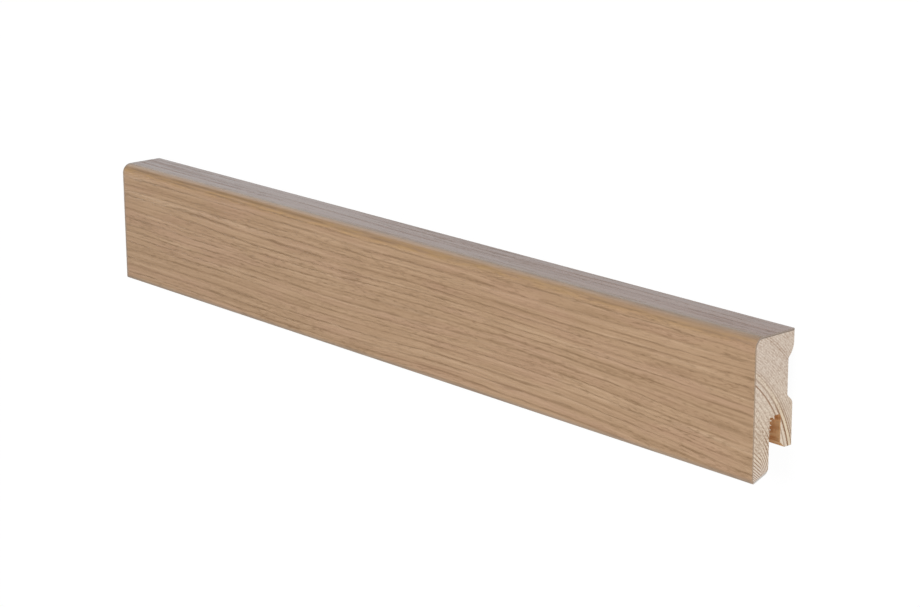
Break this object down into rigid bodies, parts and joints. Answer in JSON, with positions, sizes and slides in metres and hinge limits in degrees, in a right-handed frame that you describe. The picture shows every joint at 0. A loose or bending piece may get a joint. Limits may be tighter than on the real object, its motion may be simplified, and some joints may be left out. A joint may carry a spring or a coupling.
{
  "type": "skirting board length",
  "caption": "Straight cut length of veneered softwood skirting board with a rounded top edge, a bevelled foot, a clip groove and a hollowed back.",
  "frame": {"origin": "in the wall plane, midway along the board and midway between its foot and its top edge", "axes": "+X along the board, +Y from the foot to the top edge, +Z out of the wall to the veneered face, which looks up as the board lies on its back"},
  "size_m": [0.42, 0.058, 0.022],
  "materials": {
    "softwood": "bare softwood, planed along its length and sawn at its ends",
    "oak_veneer": "oak veneer under a thin satin lacquer"
  },
  "bodies": {
    "root": {"softwood_core": "softwood", "oak_veneer": "oak_veneer"}
  },
  "joints": []
}
